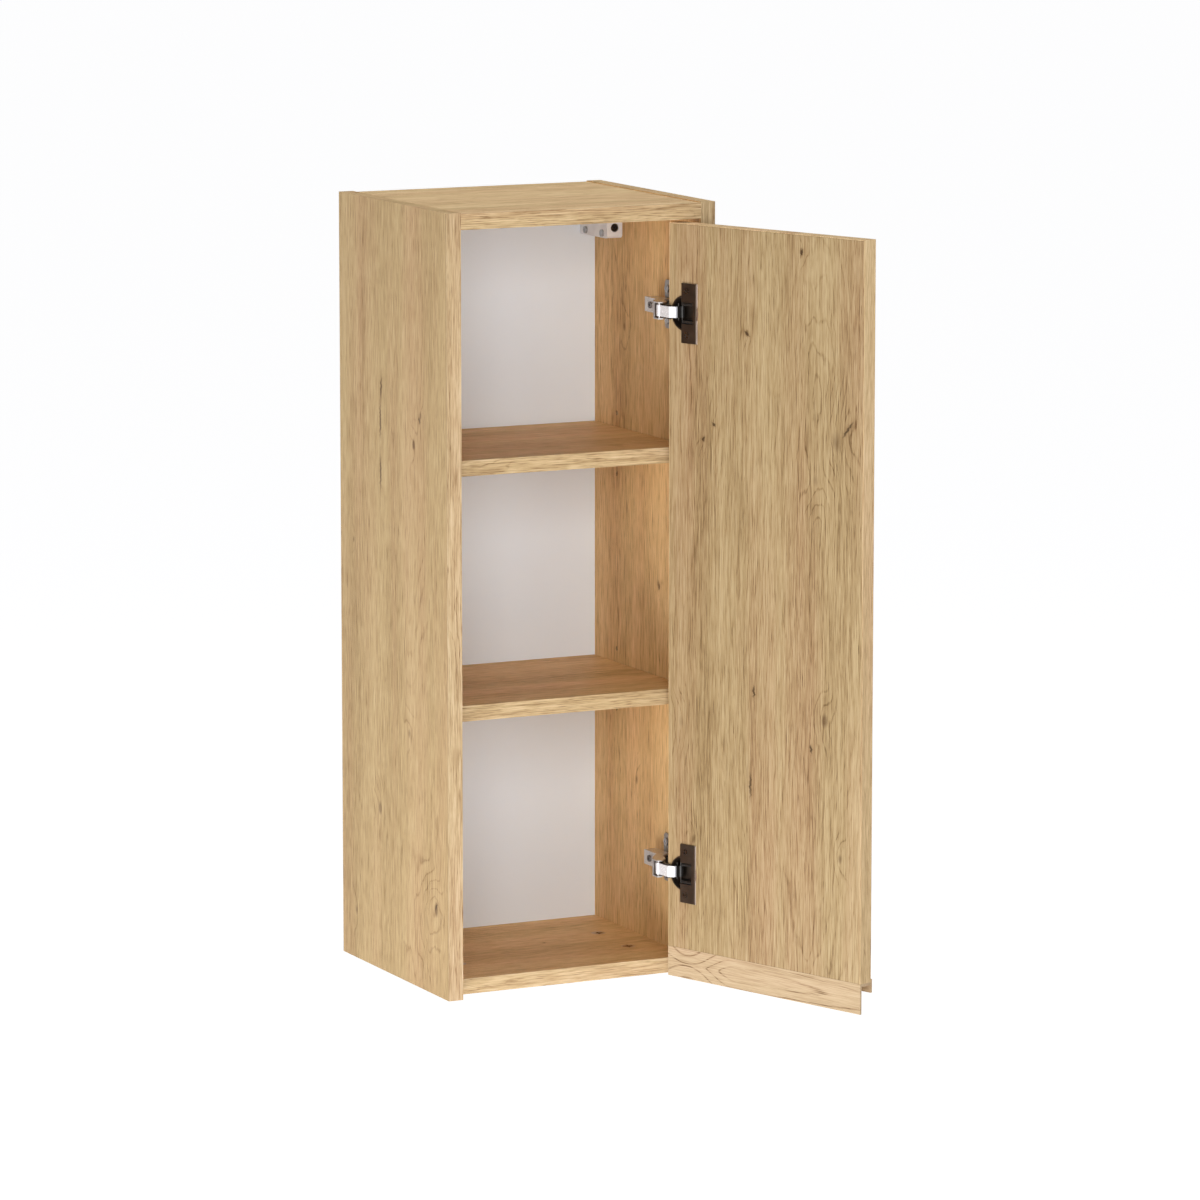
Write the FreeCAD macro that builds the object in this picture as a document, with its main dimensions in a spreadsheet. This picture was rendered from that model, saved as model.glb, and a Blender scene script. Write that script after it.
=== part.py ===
import FreeCAD, Part
import math
import os
import re
import Sketcher
from FreeCAD import Placement, Rotation, Vector

# Hanging wall cabinet with one inset door hinged on the right, standing in its own frame:
# millimetres, +Z up, origin on the wall at the middle of the cabinet's lower rear edge,
# the front towards -Y. Depths named *_from_front are measured back from the cabinet's front.
# Every piece is drawn with the door open, as far as its hinges let it go.

os.makedirs("parts", exist_ok=True)
doc = FreeCAD.newDocument("hanging_wall_cabinet")
sheet = doc.addObject("Spreadsheet::Sheet", "dimensions")

DIMENSIONS = {
    # carcass of melamine-faced chipboard
    "cabinet_width": 300,
    "cabinet_height": 800,
    "cabinet_depth": 265,
    "board_thickness": 16,
    "band_thickness": 0.8,
    "top_drop": 1,
    "bottom_setback": 22.8,
    "shelf_setback": 22,
    "shelf_end_gap": 1,
    "shelf_rear_gap": 0.5,
    # hardboard back in a groove
    "back_thickness": 3,
    "back_from_front": 245,
    "groove_depth": 6,
    "groove_clearance": 0.15,
    "back_end_clearance": 0.5,
    # rows of holes for the shelf pins
    "pin_diameter": 5,
    "pin_hole_depth": 11,
    "pin_pitch": 32,
    "pin_column_front": 59,
    "pin_column_rear": 193,
    "lower_pin_level": 280,
    "upper_pin_level": 530,
    "pin_insertion": 10,
    "pin_reach": 8,
    "pin_flat_height": 2,
    "pin_collar_diameter": 7,
    "pin_collar_thickness": 0.8,
    # cams, cam bolts and dowels that join the top and the bottom to the sides
    "cam_diameter": 15,
    "cam_thickness": 12.5,
    "cam_from_side": 37,
    "cam_front": 90,
    "cam_rear": 161,
    "cam_slot_width": 2,
    "cam_slot_length": 9,
    "cam_slot_depth": 3,
    "bolt_diameter": 7,
    "bolt_thread_diameter": 5,
    "bolt_thread_length": 11,
    "dowel_diameter": 8,
    "dowel_front": 58,
    "dowel_rear": 215,
    "dowel_in_side": 11,
    "dowel_in_panel": 20,
    # steel box hangers in the upper rear corners
    "hanger_width": 17.5,
    "hanger_length": 64.5,
    "hanger_height": 36,
    "hanger_wall": 1.2,
    "hanger_corner_radius": 4,
    "hanger_back_gap": 0.5,
    "hanger_screw_height": 5,
    "hanger_screw_front": 11,
    "hanger_screw_rear": 50,
    "hanger_screw_diameter": 4,
    "hanger_screw_depth": 11,
    "hanger_head_diameter": 7.5,
    "hanger_head_height": 2,
    "adjuster_height": 11,
    "adjuster_opening": 9,
    "adjuster_head_diameter": 7.4,
    "adjuster_head_length": 4,
    "adjuster_diameter": 6,
    "adjuster_length": 40,
    "hook_thickness": 3,
    "hook_arm_start": 12,
    "hook_arm_bottom": 18.5,
    "hook_arm_top": 30.5,
    "hook_tip_bottom": 8.5,
    "hook_tip_thickness": 4,
    "hook_wall_gap": 4,
    "hook_slot_width": 13,
    "hook_slot_bottom": 13,
    "hook_slot_top": 35.5,
    # door
    "door_gap": 2,
    "door_bottom": 1,
    "door_top": 780,
    "profile_top": 32,
    "profile_leg": 2.2,
    "profile_web": 3,
    "profile_lip": 2,
    "profile_lip_bottom": 21,
    "profile_lip_top": 35,
    "profile_lip_cutback": 1.5,
    "opening_angle": 110,
    "turning_centre_inset": 12.15,
    "turning_centre_depth": 2.28,
    # cup hinges
    "upper_hinge_level": 689,
    "lower_hinge_level": 111,
    "cup_diameter": 35,
    "cup_from_edge": 21.8,
    "cup_depth": 13,
    "cup_wall": 0.6,
    "cup_rim_diameter": 36.4,
    "cup_rim_height": 0.8,
    "flange_start": 18,
    "flange_end": 39,
    "flange_half_height": 30.5,
    "flange_thickness": 1.4,
    "flange_window_end": 33.5,
    "flange_window_half": 11,
    "cup_screw_from_edge": 25.2,
    "cup_screw_offset": 22.5,
    "cup_screw_diameter": 3,
    "cup_screw_depth": 11,
    "cup_screw_head": 6,
    "cup_screw_head_height": 0.8,
    "cup_pin_diameter": 2.4,
    "outer_pin_length": 25.8,
    "inner_pin_length": 17.2,
    "link_eye_diameter": 4.8,
    "link_eye_bore": 2.5,
    "link_thickness": 1.2,
    "outer_link_width": 11.4,
    "outer_pin_from_edge": 11.35,
    "outer_pin_depth": 7.27,
    "outer_arm_reach": 29.43,
    "inner_pin_from_edge": 7.87,
    "inner_pin_depth": 5.22,
    "inner_arm_reach": 31.4,
    "inner_link_inside": 12.1,
    "inner_link_outside": 14.3,
    "inner_link_breadth": 1.8,
    "damper_start": 19.5,
    "damper_end": 33.3,
    "damper_depth": 9,
    "damper_bridge": 3.5,
    "damper_bridge_top": 5.5,
    "damper_inside": 7.4,
    "damper_outside": 10.6,
    "arm_screw_rear": 72,
    "arm_screw_front": 60,
    "arm_screw_diameter": 4,
    "arm_screw_length": 13,
    "arm_screw_head_height": 1.5,
    "rear_arm_screw_head": 7,
    "front_arm_screw_head": 5,
    "arm_face": 113,
    "arm_taper_start": 49,
    "arm_taper_end": 61,
    "nose_width": 17.8,
    "arm_tail_width": 15,
    "arm_sheet": 1.3,
    "plate_from_front": 71,
    "plate_wing_width": 12,
    "plate_wing_height": 50,
    "plate_wing_thickness": 2,
    "plate_wing_corner": 2.5,
    "plate_block_start": 46,
    "plate_block_end": 84,
    "plate_block_height": 9.6,
    "plate_block_thickness": 12,
    "plate_screw_offset": 16,
    "plate_screw_diameter": 5,
    "plate_screw_depth": 12,
    "plate_screw_head": 8,
    "plate_screw_head_height": 1.6,
}

for row, (name, size) in enumerate(DIMENSIONS.items(), start=1):
    sheet.set(f"A{row}", name)
    sheet.set(f"B{row}", str(size))
    sheet.setAlias(f"B{row}", name)
doc.recompute()

SIDE_INNER = "(cabinet_width / 2 - board_thickness)"
TOP_UNDERSIDE = "(cabinet_height - top_drop - board_thickness)"
TOP_MIDDLE = "(cabinet_height - top_drop - board_thickness / 2)"
HANGER_BOTTOM = f"({TOP_UNDERSIDE} - hanger_height)"
DOOR_HINGE_EDGE = f"({SIDE_INNER} - door_gap)"
DOOR_INNER_FACE = "(board_thickness - cabinet_depth)"


# ---- helpers ------------------------------------------------------------------------------

def formula(text):
    """The same formula with every dimension's name pointing at the spreadsheet."""
    def point_at_sheet(word):
        return "dimensions." + word.group() if word.group() in DIMENSIONS else word.group()
    return re.sub(r"[a-z_]+", point_at_sheet, str(text))


def size(name):
    return float(sheet.get(name))


def bind(thing, prop, text):
    thing.setExpression(prop, formula(text))


def place(thing, x=0, y=0, z=0):
    for axis, text in zip("xyz", (x, y, z)):
        bind(thing, f"Placement.Base.{axis}", text)
    return thing


def new_body(label):
    body = doc.addObject("PartDesign::Body", label)
    body.Label = label
    return body


PLANES = {"XY": ("XY_Plane", 1), "XZ": ("XZ_Plane", -1), "YZ": ("YZ_Plane", 1)}


def new_sketch(body, plane, level):
    """A sketch on one of the body's own planes, moved along that plane's world axis."""
    role, normal = PLANES[plane]
    support = next(item for item in body.Origin.OriginFeatures if item.Role == role)
    sketch = body.newObject("Sketcher::SketchObject", body.Label + "_sketch")
    sketch.AttachmentSupport = (support, [""])
    sketch.MapMode = "FlatFace"
    bind(sketch, "AttachmentOffset.Base.z", f"{normal} * ({level})")
    return sketch


def fix_point(sketch, geometry, point, name, place_x, place_y):
    for kind, text in (("DistanceX", place_x), ("DistanceY", place_y)):
        number = sketch.addConstraint(Sketcher.Constraint(kind, -1, 1, geometry, point, 1.0))
        sketch.renameConstraint(number, name + kind)
        bind(sketch, f"Constraints.{name}{kind}", text)


def draw_outline(sketch, points):
    """A closed outline of straight lines through points given as pairs of formulas."""
    count = len(points)
    turn = 2 * math.pi / count
    start = [Vector(50 * math.cos(turn * i), 50 * math.sin(turn * i), 0) for i in range(count)]
    for i in range(count):
        sketch.addGeometry(Part.LineSegment(start[i], start[(i + 1) % count]))
    for i in range(count):
        sketch.addConstraint(Sketcher.Constraint("Coincident", i, 2, (i + 1) % count, 1))
    for i, (place_x, place_y) in enumerate(points):
        fix_point(sketch, i, 1, f"point{i}", place_x, place_y)


def draw_circles(sketch, centres, diameter):
    for i, (place_x, place_y) in enumerate(centres):
        start = Vector(20 * i, 0, 0)
        sketch.addGeometry(Part.Circle(start, Vector(0, 0, 1), 4))
        fix_point(sketch, i, 3, f"centre{i}", place_x, place_y)
        number = sketch.addConstraint(Sketcher.Constraint("Diameter", i, 8))
        sketch.renameConstraint(number, f"diameter{i}")
        bind(sketch, f"Constraints.diameter{i}", diameter)


def rectangle(x, y, width, height):
    right = f"({x}) + ({width})"
    top = f"({y}) + ({height})"
    return [(x, y), (right, y), (right, top), (x, top)]


def rounded_corner(x, y, width, height, radius):
    """A rectangle whose first corner is rounded, in four chords."""
    arc = [(f"({x}) + ({radius}) * (1 - sin({turn} * 22.5deg))",
            f"({y}) + ({radius}) * (1 - cos({turn} * 22.5deg))") for turn in reversed(range(5))]
    return arc + rectangle(x, y, width, height)[1:]


def pad(body, plane, level, points, length, toward=1):
    sketch = new_sketch(body, plane, level)
    draw_outline(sketch, points)
    feature = body.newObject("PartDesign::Pad", body.Label + "_pad")
    feature.Profile = sketch
    bind(feature, "Length", length)
    feature.Reversed = toward != PLANES[plane][1]
    return feature


cuts = []


def cut_sketch(body, sketch, plane, depth, toward):
    feature = body.newObject("PartDesign::Pocket", body.Label + "_pocket")
    feature.Profile = sketch
    bind(feature, "Length", depth)
    feature.Reversed = toward == PLANES[plane][1]
    cuts.append((feature, body.Label))
    return feature


def pocket(body, plane, level, points, depth, toward):
    sketch = new_sketch(body, plane, level)
    draw_outline(sketch, points)
    return cut_sketch(body, sketch, plane, depth, toward)


def drill(body, plane, level, centres, diameter, depth, toward):
    sketch = new_sketch(body, plane, level)
    draw_circles(sketch, centres, diameter)
    return cut_sketch(body, sketch, plane, depth, toward)


def board(label, corner, extent):
    """A flat board as a body: its outline padded upwards from its lower corner."""
    body = new_body(label)
    pad(body, "XY", 0, rectangle(0, 0, extent[0], extent[1]), extent[2])
    place(body, *corner)
    return body


def strip(label, corner, extent):
    piece = doc.addObject("Part::Box", label)
    piece.Label = label
    for prop, text in zip(("Length", "Width", "Height"), extent):
        bind(piece, prop, text)
    return place(piece, *corner)


TURNS = {
    "+x": Rotation(Vector(0, 1, 0), 90), "-x": Rotation(Vector(0, 1, 0), -90),
    "+y": Rotation(Vector(1, 0, 0), -90), "-y": Rotation(Vector(1, 0, 0), 90),
    "+z": Rotation(), "-z": Rotation(Vector(1, 0, 0), 180),
}


def rod(label, direction, start, diameter, length):
    """A cylinder from its start point along one of the world axes."""
    piece = doc.addObject("Part::Cylinder", label)
    piece.Label = label
    bind(piece, "Radius", f"({diameter}) / 2")
    bind(piece, "Height", length)
    piece.Placement = Placement(Vector(), TURNS[direction])
    return place(piece, *start)


def combine(kind, label, pieces):
    """A Part::MultiFuse, Part::MultiCommon or Part::Compound of pieces."""
    whole = doc.addObject(kind, label)
    whole.Label = label
    if kind == "Part::Compound":
        whole.Links = pieces
    else:
        whole.Shapes = pieces
    return whole


def cut_away(label, base, tool):
    whole = doc.addObject("Part::Cut", label)
    whole.Label = label
    whole.Base = base
    whole.Tool = tool
    return whole


def screw(label, direction, seat, head_diameter, head_height, diameter, length):
    """A screw whose head stands on its seat, back from the direction it is driven in."""
    opposite = ("-" if direction[0] == "+" else "+") + direction[1]
    head = rod(label + "_head", opposite, seat, head_diameter, head_height)
    shank = rod(label + "_shank", direction, seat, diameter, length)
    blank = combine("Part::MultiFuse", label + "_blank", [head, shank])
    axis = "xyz".index(direction[1])
    across = [i for i in range(3) if i != axis]
    slots = []
    for turned in (False, True):
        extent = [None, None, None]
        extent[axis] = f"({head_height}) * 0.7"
        extent[across[0]] = f"({head_diameter}) * {0.6 if turned else 0.15}"
        extent[across[1]] = f"({head_diameter}) * {0.15 if turned else 0.6}"
        corner = [f"{seat[i]} - {extent[i]} / 2" for i in range(3)]
        outward = f"({head_height})" if direction[0] == "+" else f"(-0.3 * ({head_height}))"
        corner[axis] = f"{seat[axis]} - {outward}"
        slots.append(strip(label + "_slot", corner, extent))
    return cut_away(label, blank, combine("Part::MultiFuse", label + "_cross", slots))


def mirrored(label, source):
    whole = doc.addObject("Part::Mirroring", label)
    whole.Label = label
    whole.Source = source
    whole.Normal = Vector(1, 0, 0)
    whole.Base = Vector()
    return whole


def solid(label, shape):
    whole = doc.addObject("Part::Feature", label)
    whole.Label = label
    whole.Shape = shape
    return whole


nodes = []


def keep(piece):
    nodes.append(piece)
    return piece


# ---- carcass ------------------------------------------------------------------------------

def front_distances(names, inset):
    return [f"{name} - ({inset})" for name in names]


CAM_DEPTHS = ("cam_front", "cam_rear")
DOWEL_DEPTHS = ("dowel_front", "dowel_rear")
HINGES = {"upper": "upper_hinge_level", "lower": "lower_hinge_level"}


def side_panel(label, carries_hinges):
    """The right-hand side panel; its local x runs from its inner face outwards."""
    body = board(label, (SIDE_INNER, "band_thickness - cabinet_depth", 0),
                 ("board_thickness", "cabinet_depth - band_thickness", "cabinet_height"))
    pocket(body, "XY", 0,
           rectangle(0, "back_from_front - groove_clearance - band_thickness", "groove_depth",
                     "back_thickness + 2 * groove_clearance"), "cabinet_height", 1)
    pin_levels = [f"{level} + {step} * pin_pitch" for level in ("lower_pin_level", "upper_pin_level")
                  for step in (-1, 0, 1)]
    pin_columns = front_distances(("pin_column_front", "pin_column_rear"), "band_thickness")
    drill(body, "YZ", 0, [(y, z) for y in pin_columns for z in pin_levels],
          "pin_diameter", "pin_hole_depth", 1)
    ends = ("board_thickness / 2", TOP_MIDDLE)
    bolts = front_distances(CAM_DEPTHS, "band_thickness")
    drill(body, "YZ", 0, [(y, z) for y in bolts for z in ends],
          "bolt_thread_diameter", "bolt_thread_length", 1)
    dowels = front_distances(DOWEL_DEPTHS, "band_thickness")
    drill(body, "YZ", 0, [(y, z) for y in dowels for z in ends],
          "dowel_diameter", "dowel_in_side", 1)
    hanger_screws = [(f"back_from_front - hanger_length - hanger_back_gap + {depth} - band_thickness",
                      f"{HANGER_BOTTOM} + hanger_screw_height")
                     for depth in ("hanger_screw_front", "hanger_screw_rear")]
    drill(body, "YZ", 0, hanger_screws, "hanger_screw_diameter", "hanger_screw_depth", 1)
    if carries_hinges:
        plate_screws = [("plate_from_front - band_thickness", f"{level} + {sign} * plate_screw_offset")
                        for level in HINGES.values() for sign in (-1, 1)]
        drill(body, "YZ", 0, plate_screws, "plate_screw_diameter", "plate_screw_depth", 1)
    return body


def rail_panel(label, setback, underside, cams_on_top):
    """The top or the bottom: a board between the sides, drilled for cams, bolts and dowels."""
    front = f"({setback} + band_thickness)"
    length = f"(2 * {SIDE_INNER})"
    body = board(label, (f"-{SIDE_INNER}", f"{front} - cabinet_depth", underside),
                 (length, f"cabinet_depth - {front}", "board_thickness"))
    face = "board_thickness" if cams_on_top else "0"
    inward = -1 if cams_on_top else 1
    pocket(body, "XY", face,
           rectangle(0, f"back_from_front - groove_clearance - {front}", length,
                     "back_thickness + 2 * groove_clearance"), "groove_depth", inward)
    bolt_rows = front_distances(CAM_DEPTHS, front)
    dowel_rows = front_distances(DOWEL_DEPTHS, front)
    cams = [(x, y) for y in bolt_rows for x in ("cam_from_side", f"{length} - cam_from_side")]
    drill(body, "XY", face, cams, "cam_diameter", "cam_thickness", inward)
    for level, toward in (("0", 1), (length, -1)):
        drill(body, "YZ", level, [(y, "board_thickness / 2") for y in bolt_rows],
              "bolt_diameter", "cam_from_side - cam_diameter / 2", toward)
        drill(body, "YZ", level, [(y, "board_thickness / 2") for y in dowel_rows],
              "dowel_diameter", "dowel_in_panel", toward)
    return body


def cam_locks(label, face, toward):
    """Cast discs with a cross slot for a screwdriver, flush with the panel's face."""
    cams = []
    for side in (-1, 1):
        for depth in CAM_DEPTHS:
            x = f"{side} * ({SIDE_INNER} - cam_from_side)"
            y = f"{depth} - cabinet_depth"
            disc = rod(label + "_disc", toward, (x, y, face), "cam_diameter", "cam_thickness")
            slots = []
            for long_x in (True, False):
                extent = ["cam_slot_width", "cam_slot_width", "2 * cam_slot_depth"]
                extent[0 if long_x else 1] = "cam_slot_length"
                corner = (f"{x} - {extent[0]} / 2", f"{y} - {extent[1]} / 2", f"{face} - cam_slot_depth")
                slots.append(strip(label + "_slot", corner, extent))
            cross = combine("Part::MultiFuse", label + "_cross", slots)
            cams.append(cut_away(label + "_cam", disc, cross))
    return combine("Part::Compound", label, cams)


def rods_into_sides(label, names, level, outer_diameter, inner_diameter, in_side, in_panel):
    """Bolts or dowels that lie across the joint between a rail panel and the sides."""
    pieces = []
    for side, direction in ((-1, "+x"), (1, "-x")):
        for name in names:
            y = f"{name} - cabinet_depth"
            thread = rod(label + "_thread", direction, (f"{side} * ({SIDE_INNER} + {in_side})", y, level),
                         inner_diameter, in_side)
            shank = rod(label + "_shank", direction, (f"{side} * {SIDE_INNER}", y, level),
                        outer_diameter, in_panel)
            pieces.append(combine("Part::MultiFuse", label + "_rod", [thread, shank]))
    return combine("Part::Compound", label, pieces)


def shelf(label, pin_level):
    front = "(shelf_setback + band_thickness)"
    half = f"({SIDE_INNER} - shelf_end_gap)"
    return board(label, (f"-{half}", f"{front} - cabinet_depth", f"{pin_level} + pin_flat_height"),
                 (f"2 * {half}", f"back_from_front - shelf_rear_gap - {front}", "board_thickness"))


def shelf_pins(label, level):
    """Four pegs with a collar; the end under the shelf has a flat on top."""
    pins = []
    for side, direction in ((-1, "+x"), (1, "-x")):
        for column in ("pin_column_front", "pin_column_rear"):
            y = f"{column} - cabinet_depth"
            shank = rod(label + "_shank", direction, (f"{side} * ({SIDE_INNER} + pin_insertion)", y, level),
                        "pin_diameter", "pin_insertion + pin_reach")
            collar = rod(label + "_collar", direction, (f"{side} * {SIDE_INNER}", y, level),
                         "pin_collar_diameter", "pin_collar_thickness")
            peg = combine("Part::MultiFuse", label + "_peg", [shank, collar])
            flat_middle = f"{side} * ({SIDE_INNER} - pin_collar_thickness - pin_reach / 2)"
            flat = strip(label + "_flat", (f"{flat_middle} - pin_reach / 2", f"{y} - pin_diameter",
                                           f"{level} + pin_flat_height"),
                         ("pin_reach", "2 * pin_diameter", "pin_diameter"))
            pins.append(cut_away(label + "_pin", peg, flat))
    return combine("Part::Compound", label, pins)


keep(mirrored("left_side_panel", side_panel("side_panel_pattern", False)))
keep(side_panel("right_side_panel", True))
keep(rail_panel("top_panel", "0", TOP_UNDERSIDE, False))
keep(rail_panel("bottom_panel", "bottom_setback", "0", True))

keep(cam_locks("top_cam_locks", TOP_UNDERSIDE, "+z"))
keep(cam_locks("bottom_cam_locks", "board_thickness", "-z"))
for end, middle in (("top", TOP_MIDDLE), ("bottom", "board_thickness / 2")):
    keep(rods_into_sides(end + "_cam_bolts", CAM_DEPTHS, middle, "bolt_diameter",
                         "bolt_thread_diameter", "bolt_thread_length", "cam_from_side - cam_diameter / 2"))
    keep(rods_into_sides(end + "_dowels", DOWEL_DEPTHS, middle, "dowel_diameter",
                         "dowel_diameter", "dowel_in_side", "dowel_in_panel"))
for which in ("upper", "lower"):
    keep(shelf(which + "_shelf", which + "_pin_level"))
    keep(shelf_pins(which + "_shelf_pins", which + "_pin_level"))

BACK_HALF = f"({SIDE_INNER} + groove_depth - back_end_clearance)"
BACK_BOTTOM = "(board_thickness - groove_depth + back_end_clearance)"
back = board("back_panel", (f"-{BACK_HALF}", "back_from_front - cabinet_depth", BACK_BOTTOM),
             (f"2 * {BACK_HALF}", "back_thickness",
              f"{TOP_UNDERSIDE} + groove_depth - back_end_clearance - {BACK_BOTTOM}"))
for side in (-1, 1):
    slot_middle = f"{BACK_HALF} + {side} * ({SIDE_INNER} - hanger_width / 2)"
    pocket(back, "XZ", 0,
           rectangle(f"{slot_middle} - hook_slot_width / 2",
                     f"{HANGER_BOTTOM} + hook_slot_bottom - {BACK_BOTTOM}",
                     "hook_slot_width", "hook_slot_top - hook_slot_bottom"),
           "back_thickness", 1)
keep(back)

for side, x in (("left", "-cabinet_width / 2"), ("right", SIDE_INNER)):
    keep(strip(side + "_side_edge_band", (x, "-cabinet_depth", 0),
               ("board_thickness", "band_thickness", "cabinet_height")))
for end, setback, underside in (("top", "0", TOP_UNDERSIDE), ("bottom", "bottom_setback", "0")):
    keep(strip(end + "_edge_band", (f"-{SIDE_INNER}", f"{setback} - cabinet_depth", underside),
               (f"2 * {SIDE_INNER}", "band_thickness", "board_thickness")))
for which in ("upper", "lower"):
    keep(strip(which + "_shelf_edge_band",
               (f"shelf_end_gap - {SIDE_INNER}", "shelf_setback - cabinet_depth",
                f"{which}_pin_level + pin_flat_height"),
               (f"2 * ({SIDE_INNER} - shelf_end_gap)", "band_thickness", "board_thickness")))


# ---- hangers ------------------------------------------------------------------------------

HANGER_X = f"({SIDE_INNER} - hanger_width)"
HANGER_Y = "(back_from_front - hanger_back_gap - hanger_length - cabinet_depth)"


def hanger_body(label):
    """A folded steel box, open towards the side panel and towards the back."""
    body = new_body(label)
    pad(body, "YZ", 0, rounded_corner(0, 0, "hanger_length", "hanger_height", "hanger_corner_radius"),
        "hanger_width")
    pocket(body, "YZ", "hanger_width",
           rounded_corner("hanger_wall", "hanger_wall", "hanger_length", "hanger_height - 2 * hanger_wall",
                          "hanger_corner_radius - hanger_wall"), "hanger_width - hanger_wall", -1)
    drill(body, "XZ", 0, [("hanger_width / 2", "adjuster_height")], "adjuster_opening",
          "2 * hanger_wall", 1)
    drill(body, "YZ", 0, [(y, "hanger_screw_height") for y in ("hanger_screw_front", "hanger_screw_rear")],
          "hanger_screw_diameter", "2 * hanger_wall", 1)
    return place(body, HANGER_X, HANGER_Y, HANGER_BOTTOM)


def hanger_hook(label):
    """A flat steel arm that leaves through the back and turns down behind it."""
    body = new_body(label)
    reach = f"(- hook_wall_gap - {HANGER_Y})"
    tip = f"({reach} - hook_tip_thickness)"
    points = [("hook_arm_start", "hook_arm_bottom"), (tip, "hook_arm_bottom"),
              (tip, "hook_tip_bottom"), (reach, "hook_tip_bottom"),
              (reach, "hook_arm_top"), ("hook_arm_start", "hook_arm_top")]
    pad(body, "YZ", "hanger_width / 2 - hook_thickness / 2", points, "hook_thickness")
    return place(body, HANGER_X, HANGER_Y, HANGER_BOTTOM)


def adjusting_screw(label):
    seat = (f"({HANGER_X} + hanger_width / 2)", f"({HANGER_Y} + hanger_wall + adjuster_head_length)",
            f"({HANGER_BOTTOM} + adjuster_height)")
    return screw(label, "+y", seat, "adjuster_head_diameter", "adjuster_head_length",
                 "adjuster_diameter", "adjuster_length - adjuster_head_length")


def fixing_screws(label):
    return combine("Part::Compound", label, [
        screw(label + "_one", "+x",
              (HANGER_X, f"({HANGER_Y} + {depth})", f"({HANGER_BOTTOM} + hanger_screw_height)"),
              "hanger_head_diameter", "hanger_head_height", "hanger_screw_diameter",
              "hanger_width + hanger_screw_depth")
        for depth in ("hanger_screw_front", "hanger_screw_rear")])


for name, maker in (("hanger_body", hanger_body), ("hanger_hook", hanger_hook),
                    ("hanger_adjusting_screw", adjusting_screw), ("hanger_fixing_screws", fixing_screws)):
    right = keep(maker("right_" + name))
    keep(mirrored("left_" + name, right))


# ---- the door's motion --------------------------------------------------------------------

TURN = math.radians(size("opening_angle"))
INNER_FACE_Y = size("board_thickness") - size("cabinet_depth")
HINGE_EDGE_X = size("cabinet_width") / 2 - size("board_thickness") - size("door_gap")
TURNING_CENTRE = Vector(HINGE_EDGE_X - size("turning_centre_inset"),
                        size("turning_centre_depth") - size("cabinet_depth"), 0)
OPENED = Placement(Vector(), Rotation(Vector(0, 0, 1), size("opening_angle")), TURNING_CENTRE)


def on_closed_door(from_edge, depth):
    """A point of the closed door, from its hinge edge and from its inner face."""
    return Vector(HINGE_EDGE_X - from_edge, INNER_FACE_Y - depth, 0)


def on_open_door(from_edge, depth):
    return OPENED.multVec(on_closed_door(from_edge, depth))


def arm_pivot(from_edge, depth, reach):
    """The point at a given reach from the turning centre that is as far from a cup pin
    with the door open as with it closed."""
    closed = on_closed_door(from_edge, depth)
    middle = (closed + on_open_door(from_edge, depth)) / 2
    direction = (middle - TURNING_CENTRE).normalize()
    return TURNING_CENTRE + direction * reach


OUTER_CUP_PIVOT = on_open_door(size("outer_pin_from_edge"), size("outer_pin_depth"))
INNER_CUP_PIVOT = on_open_door(size("inner_pin_from_edge"), size("inner_pin_depth"))
OUTER_ARM_PIVOT = arm_pivot(size("outer_pin_from_edge"), size("outer_pin_depth"), size("outer_arm_reach"))
INNER_ARM_PIVOT = arm_pivot(size("inner_pin_from_edge"), size("inner_pin_depth"), size("inner_arm_reach"))


def open_up(piece):
    """Turn a piece drawn on the closed door to where the open door has it."""
    piece.Placement = OPENED.multiply(piece.Placement)
    return keep(piece)


# ---- door ---------------------------------------------------------------------------------

DOOR_LEFT = f"(- {SIDE_INNER} + door_gap)"
DOOR_WIDTH = f"(2 * ({SIDE_INNER} - door_gap))"


def door_panel(label):
    left = f"({DOOR_LEFT} + band_thickness)"
    top = "(door_top - band_thickness)"
    body = new_body(label)
    pad(body, "XY", "profile_top",
        rectangle(left, "-cabinet_depth", f"{DOOR_WIDTH} - 2 * band_thickness", "board_thickness"),
        f"{top} - profile_top")
    cup_x = f"{DOOR_HINGE_EDGE} - cup_from_edge"
    drill(body, "XZ", DOOR_INNER_FACE, [(cup_x, level) for level in HINGES.values()],
          "cup_diameter", "cup_depth", -1)
    screw_x = f"{DOOR_HINGE_EDGE} - cup_screw_from_edge"
    drill(body, "XZ", DOOR_INNER_FACE,
          [(screw_x, f"{level} + {side} * cup_screw_offset") for level in HINGES.values()
           for side in (-1, 1)], "cup_screw_diameter", "cup_screw_depth", -1)
    return body


def handle_profile(label):
    """A grip along the door's lower edge: a leg behind, a web under the door and a lip in
    front, with the finger groove between them."""
    body = new_body(label)
    front = "(- cabinet_depth)"
    back_face = DOOR_INNER_FACE
    points = [(back_face, "door_bottom"), (back_face, "profile_top"), (front, "profile_top"),
              (front, "profile_lip_top"), (f"{front} - profile_lip", "profile_lip_top"),
              (f"{front} - profile_lip", "profile_lip_bottom"), (front, "profile_lip_bottom"),
              (front, "profile_top - profile_web"),
              (f"{back_face} - profile_leg", "profile_top - profile_web"),
              (f"{back_face} - profile_leg", "door_bottom")]
    pad(body, "YZ", DOOR_LEFT, points, DOOR_WIDTH)
    pocket(body, "XZ", f"{front} - 2 * profile_lip",
           rectangle(f"{DOOR_HINGE_EDGE} - profile_lip_cutback", "0", "2 * profile_lip_cutback",
                     "2 * profile_lip_top"), "2 * profile_lip", 1)
    return body


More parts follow.
